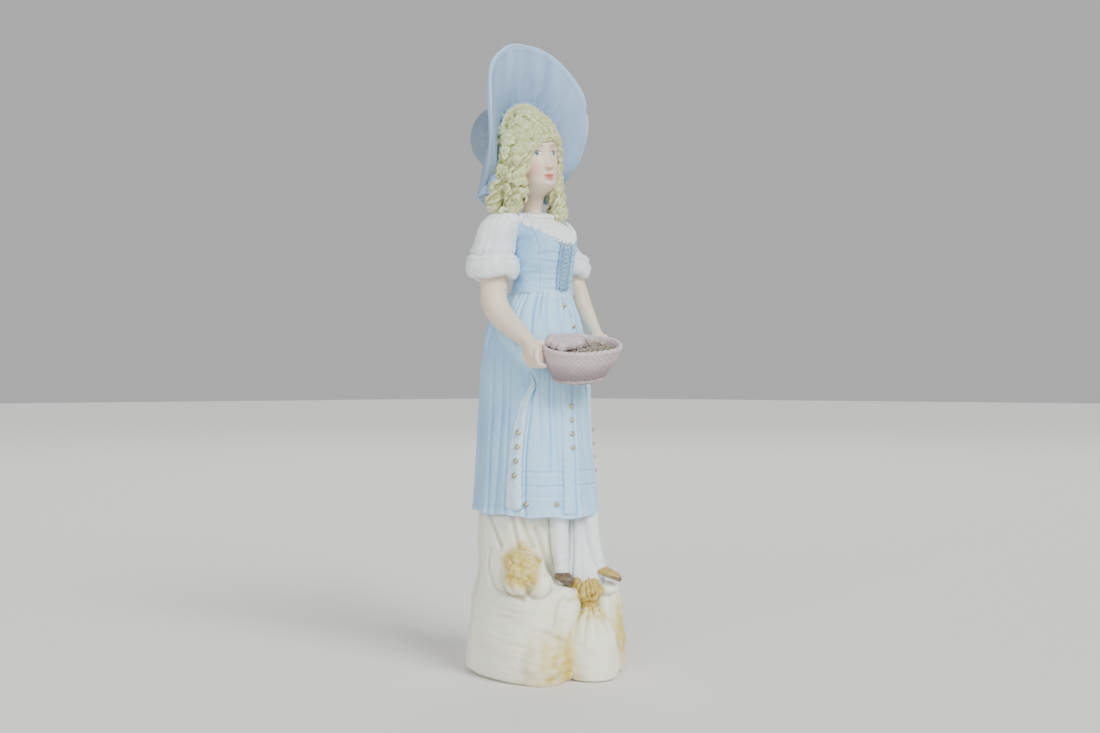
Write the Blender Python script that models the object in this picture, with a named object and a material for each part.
"""Bisque porcelain figurine of a girl in a blue dress and a wide bonnet, with a basket, on a pile of sacks.

The figure is built the way a porcelain workshop assembles one: separate slip casts (pile, skirt, bodice,
sleeves, arms, head, bonnet, basket) and small applied pieces, joined by thin slip joints.
Frame: +Z up, the figure faces -Y, her left hand is at +X, the origin is on the shelf under the pile.
Lengths below are millimetres; add_object turns them into metres.
"""

import math

import bmesh
import bpy
import numpy as np
from mathutils import Matrix, Vector

MM = 0.001

# Driving dimensions.
PILE_TOP = 76.6  # where the skirt stands on the pile
LEDGE = 42.0  # the ledge that the shoes stand on
HEM = 77.0
WAIST = 181.0
NECK_BASE = 218.0
CAST_WALL = 3.2  # wall left by the slip in the hollow casts
VENT_RADIUS = 1.8  # firing vent in the closed floor of the pile
JOINT = 0.35  # slip joint between two casts
HEAD_CENTRE = Vector((-2.5, 8.0, 249.0))
HEAD_TILT = math.radians(5)  # the head leans towards her right shoulder, as its bonnet does
HEAD_TURN = math.radians(10)  # and looks a little that way
NECK_OFFSET = Vector((1.5, 0.0, 0.0))  # the neck's axis at its foot, from the head's centre
BONNET_TILT = math.radians(5)
BONNET_CENTRE = Vector((-3.0, 8.4, 265.2))
BRIM_HALF_WIDTH = 32.4
BRIM_RISE = 36.0  # from the bonnet's centre to the top of the brim
BRIM_DROP = 40.0  # and to its lowest point behind the neck
OPENING_RADIUS = 17.5  # where brim and crown meet
OPENING_DROP = 10.0  # the opening lies below the middle of the brim
BRIM_WALL = 1.9
BASKET_CENTRE = Vector((-4.5, -28.0, 152.5))
BASKET_RADII = (21.0, 14.0)
BASKET_DEPTH = 14.5
BASKET_NORMAL = Vector((-0.16, -0.27, 1.0)).normalized()  # the basket tips forward and to her right
BEAD_RADIUS = 1.1

# Egg-shaped sections: height, half width, depth to the front, depth to the back, y of the centre.
PILE_SECTIONS = [
    (0.0, 31.0, 23.5, 36.5, 1.0),
    (3.0, 32.0, 24.5, 37.5, 1.0),
    (14.0, 32.0, 24.5, 36.5, 1.0),
    (28.0, 31.0, 24.0, 34.5, 1.5),
    (38.0, 29.8, 23.5, 32.5, 2.0),
    (LEDGE, 28.6, 22.0, 31.5, 2.5),
    (LEDGE + 4.0, 27.2, 16.5, 30.5, 3.5),
    (60.0, 26.2, 15.5, 29.5, 4.0),
    (PILE_TOP, 25.2, 15.5, 28.5, 5.0),
]
PILE_SKEW = 0.2  # the pile reaches further forward on her right than on her left
SKIRT_SECTIONS = [
    (HEM, 28.0, 30.4, 30.7, 6.0),
    (100.0, 26.2, 27.0, 30.3, 6.0),
    (130.0, 24.0, 22.2, 29.8, 5.5),
    (150.0, 23.3, 20.6, 28.8, 5.0),
    (163.0, 22.4, 19.4, 26.3, 4.5),
    (171.0, 19.8, 16.4, 22.0, 3.5),
    (177.0, 16.8, 13.6, 16.8, 2.2),
    (WAIST, 14.9, 12.4, 14.0, 1.3),
]
BODICE_SECTIONS = [
    (WAIST + JOINT, 14.9, 12.4, 14.0, 1.3),
    (189.0, 15.0, 13.0, 13.8, 1.3),
    (197.0, 15.6, 15.0, 13.6, 1.8),
    (204.0, 16.0, 16.6, 13.0, 2.6),
    (211.0, 17.6, 15.4, 11.0, 4.5),
    (215.0, 16.0, 12.0, 9.0, 6.3),
    (NECK_BASE, 9.5, 7.4, 6.8, 7.4),
]
# The head from the foot of the neck spigot to the crown, in its own upright frame round HEAD_CENTRE.
HEAD_SECTIONS = [
    (-40.0, 4.8, 4.8, 4.8, 0.0),
    (-31.0, 5.0, 5.0, 5.0, 0.2),
    (-25.0, 5.0, 5.2, 5.2, 0.4),
    (-20.0, 5.6, 8.0, 5.8, 0.0),
    (-17.5, 7.6, 13.0, 7.5, -0.4),
    (-12.0, 10.4, 14.6, 11.0, 0.0),
    (-4.0, 12.3, 14.4, 14.0, 0.3),
    (4.0, 13.2, 14.6, 15.2, 0.5),
    (11.0, 12.0, 12.8, 13.8, 0.8),
    (16.0, 7.6, 8.2, 9.4, 1.0),
    (17.6, 3.0, 3.2, 3.8, 1.2),
]
ARM_PATH = [  # her right arm, from the tenon in the sleeve to the wrist; the left one mirrors its upper part
    ((-24.0, 9.5, 203.0), 6.0),
    ((-24.8, 9.4, 193.0), 6.6),
    ((-25.4, 9.0, 184.5), 6.6),
    ((-26.3, 8.0, 177.0), 6.4),
    ((-26.4, 3.4, 170.0), 6.1),
    ((-25.6, -4.8, 163.4), 5.1),
    ((-24.8, -12.2, 158.0), 4.1),
]

MATERIALS = {}


def clear_scene():
    for obj in list(bpy.data.objects):
        bpy.data.objects.remove(obj)


def finish(name, colour, roughness=0.6, metallic=0.0):
    """A Principled material, made once for each name."""
    if name not in MATERIALS:
        made = bpy.data.materials.new(name)
        made.use_nodes = True
        shader = made.node_tree.nodes["Principled BSDF"]
        shader.inputs["Base Color"].default_value = (*colour, 1)
        shader.inputs["Roughness"].default_value = roughness
        shader.inputs["Metallic"].default_value = metallic
        MATERIALS[name] = made
    return MATERIALS[name]


def place_mesh(name, mesh, material):
    """Turns the faces outwards, shades the mesh and puts it in the scene."""
    work = bmesh.new()
    work.from_mesh(mesh)
    bmesh.ops.recalc_face_normals(work, faces=work.faces)
    work.to_mesh(mesh)
    work.free()
    mesh.shade_smooth()
    mesh.set_sharp_from_angle(angle=math.radians(50))
    mesh.materials.append(material)
    obj = bpy.data.objects.new(name, mesh)
    bpy.context.scene.collection.objects.link(obj)
    return obj


def add_object(name, points, faces, material):
    mesh = bpy.data.meshes.new(name)
    mesh.from_pydata([Vector(p) * MM for p in points], [], faces)
    return place_mesh(name, mesh, material)


def smooth_between(keys, values, at):
    """A smooth curve through values at keys, read at one place."""
    keys, values = np.asarray(keys, float), np.asarray(values, float)
    slopes = np.gradient(values, keys)
    i = int(np.clip(np.searchsorted(keys, at) - 1, 0, len(keys) - 2))
    span = keys[i + 1] - keys[i]
    t = float(np.clip((at - keys[i]) / span, 0, 1))
    level = values[i] * (1 + 2 * t) * (1 - t) ** 2 + values[i + 1] * t**2 * (3 - 2 * t)
    return level + span * (slopes[i] * t * (1 - t) ** 2 - slopes[i + 1] * t**2 * (1 - t))


def egg_point(sections, angle, z, outward=0.0, square=2.0, skew=0.0):
    """The point of an egg-shaped loft at that angle (0 at +X, a quarter turn at the back) and height."""
    heights = [s[0] for s in sections]
    half, front, back, centre = (smooth_between(heights, [s[k] for s in sections], z) for k in (1, 2, 3, 4))
    c, s = math.cos(angle), math.sin(angle)
    power = 2 / square
    front *= 1 - skew * c
    x = math.copysign(abs(c) ** power, c) * (half + outward)
    y = math.copysign(abs(s) ** power, s) * ((back if s > 0 else front) + outward)
    return Vector((x, centre + y, z))


def egg_ring(sections, z, count, outward=0.0, square=2.0, skew=0.0):
    return [egg_point(sections, 2 * math.pi * k / count, z, outward, square, skew) for k in range(count)]


def band_faces(first, second, count):
    """Quads between two closed rows of points that start at those indices."""
    return [(first + k, first + (k + 1) % count, second + (k + 1) % count, second + k) for k in range(count)]


def loft(name, rings, material):
    """A closed solid through rings of the same number of points, with flat ends."""
    count = len(rings[0])
    points = [p for ring in rings for p in ring]
    faces = [q for r in range(len(rings) - 1) for q in band_faces(r * count, (r + 1) * count, count)]
    faces.append(tuple(range(count)))
    faces.append(tuple(range(len(points) - count, len(points))))
    return add_object(name, points, faces, material)


def closed_loft(name, rings, material):
    """A ring-shaped solid: the last ring joins the first."""
    count = len(rings[0])
    points = [p for ring in rings for p in ring]
    faces = []
    for r in range(len(rings)):
        faces += band_faces(r * count, (r + 1) % len(rings) * count, count)
    return add_object(name, points, faces, material)


def frames_along(path):
    """A side and an up vector at each point of an open path, carried along without twist."""
    last = len(path) - 1
    tangents = [(path[min(i + 1, last)] - path[max(i - 1, 0)]).normalized() for i in range(last + 1)]
    side = tangents[0].orthogonal().normalized()
    frames = []
    for tangent in tangents:
        side = (side - tangent * side.dot(tangent)).normalized()
        frames.append((side, tangent.cross(side)))
    return frames


def limb(name, spots, material, sides=10):
    """A round solid along (point, radius) spots, with domed ends."""
    path = [Vector(p) for p, _ in spots]
    radii = [r for _, r in spots]
    first, last = (path[0] - path[1]).normalized(), (path[-1] - path[-2]).normalized()
    path = [path[0] + first * radii[0] * 0.6, *path, path[-1] + last * radii[-1] * 0.6]
    radii = [radii[0] * 0.5, *radii, radii[-1] * 0.5]
    rings = []
    for centre, radius, (side, up) in zip(path, radii, frames_along(path)):
        turns = [2 * math.pi * k / sides for k in range(sides)]
        rings.append([centre + (side * math.cos(t) + up * math.sin(t)) * radius for t in turns])
    return loft(name, rings, material)


def ball(name, centre, radii, material, axis=(0, 0, 1), rings=7, sides=12):
    """A ball stretched to three radii; its third radius lies along axis."""
    mesh = bpy.data.meshes.new(name)
    work = bmesh.new()
    bmesh.ops.create_uvsphere(work, u_segments=sides, v_segments=rings, radius=1.0)
    turn = Vector(axis).to_track_quat("Z", "Y").to_matrix().to_4x4()
    size = Matrix.Diagonal((*(r * MM for r in radii), 1))
    work.transform(Matrix.Translation(Vector(centre) * MM) @ turn @ size)
    work.to_mesh(mesh)
    work.free()
    return place_mesh(name, mesh, material)


def as_tool(obj):
    obj.hide_render = True
    obj.display_type = "WIRE"
    return obj


def boolean(obj, tool, operation="DIFFERENCE"):
    step = obj.modifiers.new(operation.lower() + "_" + tool.name, "BOOLEAN")
    step.operation = operation
    step.object = as_tool(tool)
    step.solver = "EXACT"
    return obj


def room_for(obj, room=JOINT):
    """A hidden copy of a piece's whole outer shape, swollen by a joint, to cut its neighbours with."""
    copy = bpy.data.objects.new(obj.name + "_room", obj.data)
    bpy.context.scene.collection.objects.link(copy)
    swell = copy.modifiers.new("joint", "DISPLACE")
    swell.direction = "NORMAL"
    swell.mid_level = 0.0
    swell.strength = room * MM
    return copy


def clear_of(obj, *others):
    """Cuts the room for each neighbour out of a piece."""
    for other in others:
        boolean(obj, room_for(other))
    return obj


def tilted(point, centre, tilt):
    """A point of an upright frame, leant towards -X round centre."""
    return centre + Matrix.Rotation(-tilt, 3, "Y") @ Vector(point)


def build_pile(white, ochre):
    """The hollow pile cast, with a closed floor and a vent, and the sacks and folds luted to it."""
    heights = [0.0, 3.0, 14.0, 28.0, 38.0, LEDGE, LEDGE + 2.0, LEDGE + 4.0, 60.0, PILE_TOP]
    pile = loft("pile_cast", [egg_ring(PILE_SECTIONS, z, 36, 0.0, 2.5, PILE_SKEW) for z in heights], white)
    inner = [CAST_WALL, 8.0, 28.0, LEDGE - 3.0, LEDGE + 8.0, PILE_TOP - CAST_WALL]
    rings = [egg_ring(PILE_SECTIONS, z, 20, -CAST_WALL - 1.5, 2.3, PILE_SKEW) for z in inner]
    rings[3] = egg_ring(PILE_SECTIONS, LEDGE + 4.0, 20, -CAST_WALL - 1.5, 2.3, PILE_SKEW)
    for point in rings[3]:
        point.z = inner[3]
    boolean(pile, loft("pile_cavity", rings, white))
    boolean(pile, limb("pile_vent", [((0, 20, -2), VENT_RADIUS), ((0, 20, 5), VENT_RADIUS)], white, 12))

    profile = [(0.0, 10.0), (2.0, 11.8), (9.0, 12.4), (17.0, 11.4), (24.0, 9.0), (29.0, 6.2), (33.0, 3.8)]
    turns = [2 * math.pi * k / 20 for k in range(20)]
    foot = Vector((6.6, -24.4, 0))

    def sack_ring(z, radius, ruffle=0.0):
        middle = foot + Vector((-0.02 * z, -0.01 * z, z))
        radii = [radius * (1 + ruffle * (-1) ** k) for k in range(20)]
        return [middle + Vector((r * math.cos(t), r * math.sin(t), 0)) for r, t in zip(radii, turns)]

    front_sack = clear_of(loft("front_sack", [sack_ring(z, r) for z, r in profile], white), pile)
    tie_rings = [sack_ring(z, r)[::2] for z, r in ((33.4, 3.9), (34.8, 4.3), (36.2, 3.9))]
    tie = clear_of(loft("front_sack_tie", tie_rings, ochre), pile)
    mouth_profile = [(36.6, 3.4), (38.4, 5.6), (41.4, 7.0), (44.2, 6.4), (45.8, 3.8)]
    mouth = loft("front_sack_mouth", [sack_ring(z, r, 0.07) for z, r in mouth_profile], ochre)

    standing = ((0.0, 8.6), (2.0, 9.9), (10.0, 10.6), (20.0, 10.0), (30.0, 8.8), (38.0, 7.4), (41.5, 5.0))
    rings = [
        [Vector((22.0 - 0.06 * z + r * math.cos(t), -17.4 - 0.05 * z + r * math.sin(t), z)) for t in turns]
        for z, r in standing
    ]
    left_sack = clear_of(loft("left_sack", rings, white), pile, front_sack, tie, mouth)
    corner = ball_rings((-16.5, -22.5, 8.0), (9.0, 7.0, 8.0), 12)
    clear_of(loft("pile_corner", corner, ochre), pile, front_sack)
    ear_route = [((-15.5, -23.0, 20.0), 3.6), ((-11.0, -24.0, 27.0), 4.0), ((-5.5, -22.8, 34.0), 3.4)]
    ear = limb("pile_ear", ear_route, white)
    clear_of(ear, pile, front_sack, tie)

    side_mouth = ball("side_sack_mouth", (-25.2, -9.6, 54.0), (8.0, 7.4, 5.6), ochre, (-0.85, -0.52, 0.1))
    clear_of(side_mouth, pile)
    lobes = []
    for name, centre in (("side_lobe_back", (-29.0, -7.8, 43.6)), ("side_lobe_front", (-23.4, -16.6, 43.4))):
        lobe = ball(name, centre, (6.4, 5.2, 4.6), white, (-0.8, -0.6, 0.3))
        lobes.append(clear_of(lobe, pile, side_mouth, *lobes))
    folds = []
    fold_lines = [
        ((-26.0, 1.0, 74.0), (-26.0, -3.0, 64.0)),
        ((-23.0, -6.6, 74.0), (-20.5, -11.0, 58.0)),
        ((-17.5, -10.6, 74.0), (-14.0, -14.0, 52.0)),
    ]
    for number, (top, foot) in enumerate(fold_lines, 1):
        top, foot = Vector(top), Vector(foot)
        middle = (top + foot) / 2 + Vector((-0.6, -0.6, 0))
        fold = limb(f"support_fold_{number}", [(top, 3.6), (middle, 3.8), (foot, 3.0)], white, 9)
        folds.append(clear_of(fold, pile, side_mouth, *folds))
    return pile, (mouth, left_sack), folds


def ball_rings(centre, radii, sides, levels=7):
    """Rings of an upright ball that is flattened where it stands."""
    rings = []
    for i in range(levels):
        rise = -0.86 + 1.8 * i / (levels - 1)
        width = math.sqrt(1 - min(rise, 0.97) ** 2)
        z = max(centre[2] + radii[2] * rise, 0.0) if i else 0.0
        turns = [2 * math.pi * k / sides for k in range(sides)]
        across, along = radii[0] * width, radii[1] * width
        middle = Vector((centre[0], centre[1], z))
        rings.append([middle + Vector((across * math.cos(t), along * math.sin(t), 0)) for t in turns])
    return rings


def build_legs(pile, sacks, folds, stocking, leather, white):
    """Stockinged legs under the hem, shoes on the ledge and the drapery that carries the skirt."""
    top = HEM - JOINT
    knee = top - 2.6
    right_route = [((-7.0, -14.4, knee), 4.4), ((-6.9, -15.2, 62.0), 3.8), ((-6.0, -16.4, 50.0), 2.9)]
    left_route = [((10.6, -18.4, knee), 4.4), ((11.6, -19.8, 62.0), 4.0), ((13.6, -21.6, 51.4), 3.6)]
    right, left = limb("right_leg", right_route, stocking), limb("left_leg", left_route, stocking)
    cap = as_tool(loft("leg_top_trim", [square_ring(60, z) for z in (top, top + 20)], white))
    right_shoe = ball("right_shoe", (-6.0, -19.0, 45.6), (3.6, 6.4, 3.4), leather)
    left_shoe = ball("left_shoe", (15.4, -25.8, 47.4), (3.8, 7.8, 3.4), leather, (0.2, -0.35, 1.0))
    for leg in (right, left):
        clear_of(leg, pile)
        boolean(leg, cap)
    clear_of(right_shoe, pile, right)
    clear_of(left_shoe, left)
    front_mouth, left_sack = sacks
    clear_of(front_mouth, pile, left_shoe)
    clear_of(left_sack, left_shoe)
    support = loft("leg_support", [drapery_ring(z, top) for z in np.linspace(LEDGE - 2, top, 6)], white)
    clear_of(support, pile, right, left, right_shoe, left_shoe, *sacks, *folds)


def square_ring(half, z):
    return [Vector((x * half, y * half, z)) for x, y in ((-1, -1), (1, -1), (1, 1), (-1, 1))]


def drapery_ring(z, top):
    """A section of the white drapery: wide at its foot, narrow under the hem."""
    drop = (top - z) / (top - LEDGE)
    middle = Vector((5.6 + 1.5 * drop, -14.2 - 1.6 * drop, z))
    half = Vector((10.0 + 3.0 * drop, 5.0 + 1.0 * drop, 0))
    turns = [2 * math.pi * k / 16 for k in range(16)]
    return [middle + Vector((half.x * math.cos(t), half.y * math.sin(t), 0)) for t in turns]


def build_dress(blue, pale):
    """The hollow skirt and bodice casts with the trim that is luted onto them."""
    heights = [HEM, 79.0, 90.0, 104.0, 120.0, 136.0, 150.0, 160.0, 168.0, 174.0, 178.0, WAIST]
    skirt = loft("skirt_cast", [egg_ring(SKIRT_SECTIONS, z, 40) for z in heights], blue)
    inner = [HEM - 2.0, 100.0, 130.0, 150.0, 162.0, 170.0]
    rings = [egg_ring(SKIRT_SECTIONS, max(z, HEM), 24, -CAST_WALL) for z in inner]
    for point in rings[0]:
        point.z = inner[0]
    boolean(skirt, loft("skirt_cavity", rings, blue))

    bodice_heights = [WAIST + JOINT, 185.0, 190.0, 195.0, 200.0, 205.0, 209.0, 212.5, 215.5, NECK_BASE]
    bodice = loft("bodice_cast", [egg_ring(BODICE_SECTIONS, z, 32) for z in bodice_heights], blue)
    inner = [WAIST - 1.0, 190.0, 200.0, 206.0]
    rings = [egg_ring(BODICE_SECTIONS, max(z, WAIST + JOINT), 16, -CAST_WALL - 0.5) for z in inner]
    for point in rings[0]:
        point.z = inner[0]
    boolean(bodice, loft("bodice_cavity", rings, blue))

    edges = []
    for name, sign in (("overskirt_right_edge", -1), ("overskirt_left_edge", 1)):
        spots = []
        for t in np.linspace(0, 1, 7):
            z = 136.5 - 56.5 * t
            turn = math.radians(-90 + sign * (66.5 - 17 * (1 - t) ** 3))
            spots.append((egg_point(SKIRT_SECTIONS, turn, z, 0.6), 2.1 + 0.7 * t))
        edges.append(clear_of(limb(name, spots, pale, 8), skirt))
    strip = []
    for z in np.linspace(80.0, 170.0, 9):
        middle = -90 - 15.5 * (170.0 - z) / 90.0
        turns = [math.radians(middle + w) for w in (7.5, -7.5)]
        inner_pair = [egg_point(SKIRT_SECTIONS, t, z, -1.0) for t in turns]
        outer_pair = [egg_point(SKIRT_SECTIONS, t, z, 1.1) for t in turns]
        strip.append([inner_pair[0], outer_pair[0], outer_pair[1], inner_pair[1]])
    placket = clear_of(loft("placket", strip, blue), skirt)
    braid = []
    for z in np.linspace(183.0, 202.0, 6):
        turns = [math.radians(-90 + 10 * w) for w in (-1, 1)]
        inner_pair = [egg_point(BODICE_SECTIONS, t, z, -1.0) for t in turns]
        outer_pair = [egg_point(BODICE_SECTIONS, t, z, 1.3) for t in turns]
        braid.append([inner_pair[0], outer_pair[0], outer_pair[1], inner_pair[1]])
    clear_of(loft("bodice_lacing", braid, blue), bodice)
    return skirt, bodice, edges, placket


def build_arms(skirt, bodice, basket, skin, white):
    """Bare arms whose tenons sit in the puffed sleeves, and the rolled cuffs."""
    pieces = []
    for side, sign in (("right", -1), ("left", 1)):
        spots = [((-sign * p[0], p[1], p[2]), r) for p, r in ARM_PATH]
        if sign < 0:
            spots += [((-25.0, -17.0, 154.4), 4.0), ((-25.4, -20.5, 149.6), 3.4)]
        else:
            spots = [(Vector(p) + Vector((1.4, -1.8, 0)), r) for p, r in spots[:5]]
            spots += [((24.4, -7.0, 166.0), 4.8), ((20.0, -15.0, 162.4), 3.8)]
            spots += [((17.0, -19.5, 160.6), 3.8), ((14.6, -22.5, 158.0), 3.0)]
        arm = limb(f"{side}_arm", spots, skin, 12)
        clear_of(arm, bodice, skirt, basket)
        turns = [2 * math.pi * k / 20 for k in range(20)]
        profile = [(198.6, 10.2, 25.0, 10.0), (204.0, 9.8, 24.4, 9.4), (210.0, 8.9, 22.8, 8.8),
                   (215.0, 7.0, 20.6, 8.4), (218.6, 4.0, 18.4, 8.2)]
        rings = []
        for z, r, x, y in profile:
            rings.append([Vector((sign * x + r * math.cos(t), y + r * math.sin(t), z)) for t in turns])
        sleeve = clear_of(loft(f"{side}_sleeve", rings, white), bodice, arm)
        rings = []
        for k in range(20):
            t = 2 * math.pi * k / 20
            out = Vector((math.cos(t), math.sin(t), 0))
            middle = Vector((sign * 25.2, 9.8, 192.6))
            tube = [2 * math.pi * j / 8 for j in range(8)]
            rolled = [out * (9.6 + 3.6 * math.cos(a)) + Vector((0, 0, 5.6 * math.sin(a))) for a in tube]
            rings.append([middle + p for p in rolled])
        cuff = clear_of(closed_loft(f"{side}_cuff", rings, white), bodice, arm, sleeve)
        pieces += [arm, sleeve, cuff]
    return pieces


def basket_point(turn, rise, outward=0.0):
    """A point of the basket's side; rise is 0 at the foot and 1 at the rim."""
    across = Vector((1, 0, 0))
    along = BASKET_NORMAL.cross(across).normalized()
    across = along.cross(BASKET_NORMAL)
    spread = 0.56 + 0.44 * math.sin(math.pi / 2 * max(rise, 0.0)) ** 0.9
    lip = 1 + 0.16 * math.exp(-(((math.degrees(turn) + 62 + 180) % 360 - 180) / 26) ** 2) * max(rise, 0.0) ** 3
    x = (BASKET_RADII[0] * spread + outward) * math.cos(turn) * lip
    y = (BASKET_RADII[1] * spread + outward) * math.sin(turn) * lip
    return BASKET_CENTRE + across * x + along * y + BASKET_NORMAL * (BASKET_DEPTH * (rise - 1) + 3.0)


def build_basket(dress, wicker, straw):
    """The shallow basket pressed against the dress, and the grain on its bottom."""
    turns = [2 * math.pi * k / 30 for k in range(30)]
    outer = [[basket_point(t, rise) for t in turns] for rise in (0.0, 0.15, 0.4, 0.7, 1.0)]
    inner = [[basket_point(t, rise, -2.4) for t in turns] for rise in (1.0, 0.7, 0.45, 0.22)]
    basket = clear_of(loft("basket", outer + inner, wicker), *dress)
    bed = [[basket_point(t, rise, -2.4 - JOINT) for t in turns[::2]] for rise in (0.26, 0.4, 0.52)]
    crown = [basket_point(t, 0.6, -7.0) for t in turns[::2]]
    clear_of(loft("grain", bed + [crown], straw), *dress)
    return basket


def head_point(turn, level, outward=0.0):
    point = egg_point(HEAD_SECTIONS, turn, level, outward)
    bend = np.clip((level + 30) / 14, 0, 1)  # the neck rises straight and the head leans
    upright = HEAD_CENTRE + point + NECK_OFFSET
    turned = Matrix.Rotation(-HEAD_TURN, 3, "Z") @ point
    return upright.lerp(tilted(turned, HEAD_CENTRE, HEAD_TILT), float(bend))


def build_head(bodice, skin, blond):
    """Head with its neck spigot, the curly hair round it and the ringlets on the shoulders."""
    turns = [2 * math.pi * k / 20 for k in range(20)]
    levels = (-40.0, -31.0, -25.0, -21.0, -18.5, -15.0, -10.0, -4.0, 4.0, 11.0, 15.5, 17.6)
    head = loft("head_cast", [[head_point(t, level) for t in turns] for level in levels], skin)
    boolean(bodice, room_for(head))
    lean = Matrix.Rotation(-HEAD_TILT, 3, "Y") @ Vector((0, 0, 1))
    hair = ball("hair_cap", HEAD_CENTRE + Vector((0, 2.0, 1.0)), (17.0, 16.0, 20.5), blond, lean, 12, 18)
    face_middle = HEAD_CENTRE + Vector((-2.6, -15.5, -8.0))
    window = ball("face_window", face_middle, (9.0, 9.0, 14.0), blond, lean, 10, 16)
    boolean(hair, window)
    boolean(hair, room_for(head))
    return head, hair


def build_ringlets(blond, *neighbours):
    """Bunches of ringlets that hang from the hair onto the shoulders."""
    routes = {
        "right_back_ringlets": ((-19.0, 7.0, 239.0), (-22.0, 8.0, 231.0), (-24.0, 9.6, 223.4)),
        "right_front_ringlets": ((-15.6, -0.6, 236.0), (-16.2, 1.2, 229.0), (-16.8, 3.0, 221.6)),
        "left_back_ringlets": ((13.0, 5.0, 238.0), (16.0, 5.0, 230.0), (17.0, 6.5, 224.0)),
        "left_front_ringlets": ((9.6, -1.0, 236.0), (9.4, -1.6, 228.0), (9.2, -3.0, 218.5)),
    }
    bunches = []
    for name, route in routes.items():
        spots = list(zip(route, (4.2, 4.8, 4.2)))
        bunches.append(clear_of(limb(name, spots, blond, 10), *neighbours, *bunches))
    return bunches


def build_collar(bodice, head, lace):
    """The white ruffle that runs round the neck and down to a point on the chest."""
    rings = []
    count = 28
    for k in range(count):
        turn = 2 * math.pi * k / count
        drop = max(math.cos(turn), 0.0) ** 1.6
        angle = turn - math.pi / 2
        z = NECK_BASE - 0.6 - 12.0 * drop
        seat = egg_point(BODICE_SECTIONS, angle, z, 0.4)
        middle = Vector((seat.x * (1 - 0.3 * drop), seat.y, z))
        out = Vector((math.cos(angle), math.sin(angle), 0))
        tube = [2 * math.pi * j / 6 for j in range(6)]
        rings.append([middle + out * 1.6 * math.cos(a) + Vector((0, 0, 2.4 * math.sin(a))) for a in tube])
    return clear_of(closed_loft("collar_ruffle", rings, lace), bodice, head)


def rim_point(turn, share, lift=0.0):
    """A point of the bonnet brim; share is 0 at the opening and 1 at the rim, lift is along the front.

    The lower half is squarer than the upper half, and it sweeps back round the neck.
    """
    c, s = math.cos(turn), math.sin(turn)
    inner = Vector((OPENING_RADIUS * c, 0, OPENING_RADIUS * s - OPENING_DROP))
    if s > 0:
        outer = Vector((BRIM_HALF_WIDTH * c, 0, BRIM_RISE * s))
        sweep = -7.0 * c * c + 2.5 * s * s
    else:
        outer = Vector((math.copysign(abs(c) ** 0.42, c) * BRIM_HALF_WIDTH, 0, -BRIM_DROP * abs(s) ** 0.85))
        sweep = -7.0 * c * c + 18.0 * s * s
    point = inner.lerp(outer, share)
    point.y = 4.0 * (1 - share) ** 2 + sweep * share**1.6 - lift
    return tilted(point, BONNET_CENTRE, BONNET_TILT)


def build_bonnet(head, hair, bodice, sleeves, blue, pale):
    """The wide brim, the crown behind it and the lace frill round the hair."""
    turns = [2 * math.pi * k / 36 for k in range(36)]
    shares = (0.0, 0.2, 0.45, 0.72, 0.93, 1.0)
    front = [[rim_point(t, w, BRIM_WALL / 2) for t in turns] for w in shares]
    back = [[rim_point(t, w, -BRIM_WALL / 2) for t in turns] for w in shares[::-1]]
    brim = closed_loft("bonnet_brim", front + back, blue)
    clear_of(brim, hair, head, bodice, *sleeves)
    crown_rings = []
    for depth, radius in ((0.0, 17.4), (5.0, 18.2), (13.0, 17.6), (21.0, 14.4), (26.6, 9.0), (29.2, 3.5)):
        drop = OPENING_DROP - 1.5 - 0.1 * depth
        ring = [Vector((radius * math.cos(t), 5.6 + depth, radius * math.sin(t) - drop)) for t in turns[::2]]
        crown_rings.append([tilted(p, BONNET_CENTRE, BONNET_TILT) for p in ring])
    crown = clear_of(loft("bonnet_crown", crown_rings, blue), hair, brim, head)
    rings = []
    for t in turns:
        foot, out = rim_point(t, 0.05, 2.4), (rim_point(t, 0.5) - rim_point(t, 0.1)).normalized()
        along = Vector((0, -1, 0))
        tube = [2 * math.pi * j / 6 for j in range(6)]
        rings.append([foot + out * 1.7 * math.cos(a) + along * 1.5 * math.sin(a) for a in tube])
    frill = clear_of(closed_loft("bonnet_frill", rings, pale), hair, brim, head)
    return brim, crown, frill


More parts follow.
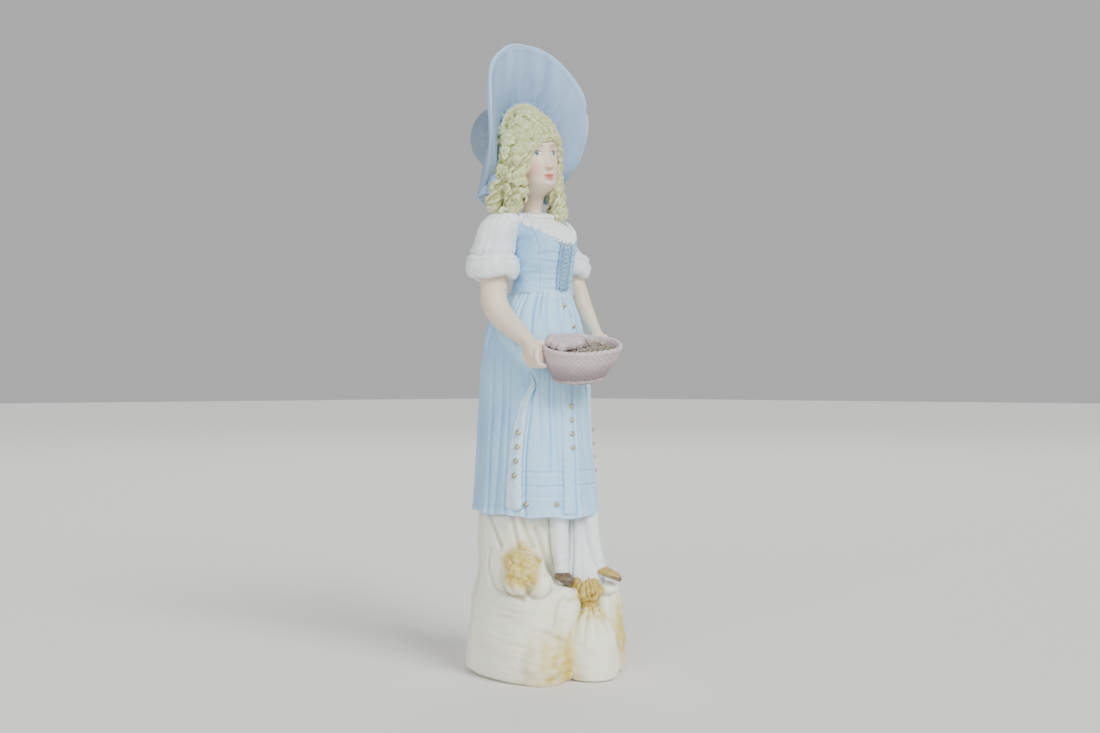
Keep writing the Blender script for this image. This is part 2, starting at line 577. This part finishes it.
def add_beads(gilt, *hosts):
    """Pressed gilt dots on the dress: (name, degrees from the front, height, height above the cloth)."""
    spots = [(f"waist_bead_{k + 1}", 6 * k, 174.5 - 4.8 * k, 0.0) for k in range(3)]
    spots += [(f"placket_bead_{k + 1}", -3 - 1.2 * k, 127 - 6.4 * k, 1.3) for k in range(4)]
    for side, sign in (("right", -1), ("left", 1)):
        spots += [(f"{side}_edge_bead_{k + 1}", sign * (62 + 1.2 * k), 115 - 6.6 * k, 3.2) for k in range(4)]
    spots += [(f"hem_bead_{k + 1}", turn, 82.0, 0.2) for k, turn in enumerate((-56, -28, 58))]
    for name, turn, z, outward in spots:
        point = egg_point(SKIRT_SECTIONS, math.radians(turn - 90), z, outward)
        clear_of(ball(name, point, (BEAD_RADIUS,) * 3, gilt, rings=5, sides=8), *hosts)


def main():
    clear_scene()
    white = finish("bisque_white", (0.72, 0.68, 0.58))
    ochre = finish("ochre_wash", (0.62, 0.40, 0.14))
    blue = finish("blue_bisque", (0.36, 0.52, 0.64))
    pale = finish("pale_blue_bisque", (0.62, 0.72, 0.78))
    skin = finish("painted_skin", (0.70, 0.52, 0.42))
    blond = finish("painted_hair", (0.58, 0.52, 0.28))
    stocking = finish("stocking_white", (0.74, 0.73, 0.70))
    leather = finish("painted_shoes", (0.27, 0.16, 0.08))
    wicker = finish("mauve_wicker", (0.50, 0.36, 0.38))
    straw = finish("painted_grain", (0.45, 0.32, 0.20))
    gilt = finish("gilt", (0.80, 0.62, 0.32), 0.3, 1.0)
    pile, sacks, folds = build_pile(white, ochre)
    build_legs(pile, sacks, folds, stocking, leather, white)
    skirt, bodice, edges, placket = build_dress(blue, pale)
    basket = build_basket((skirt, placket, *edges), wicker, straw)
    arms = build_arms(skirt, bodice, basket, skin, white)
    head, hair = build_head(bodice, skin, blond)
    sleeves = [p for p in arms if "sleeve" in p.name]
    brim, crown, frill = build_bonnet(head, hair, bodice, sleeves, blue, pale)
    collar = build_collar(bodice, head, white)
    build_ringlets(blond, hair, head, bodice, brim, crown, frill, collar, *sleeves)
    add_beads(gilt, skirt, placket, *edges)


main()
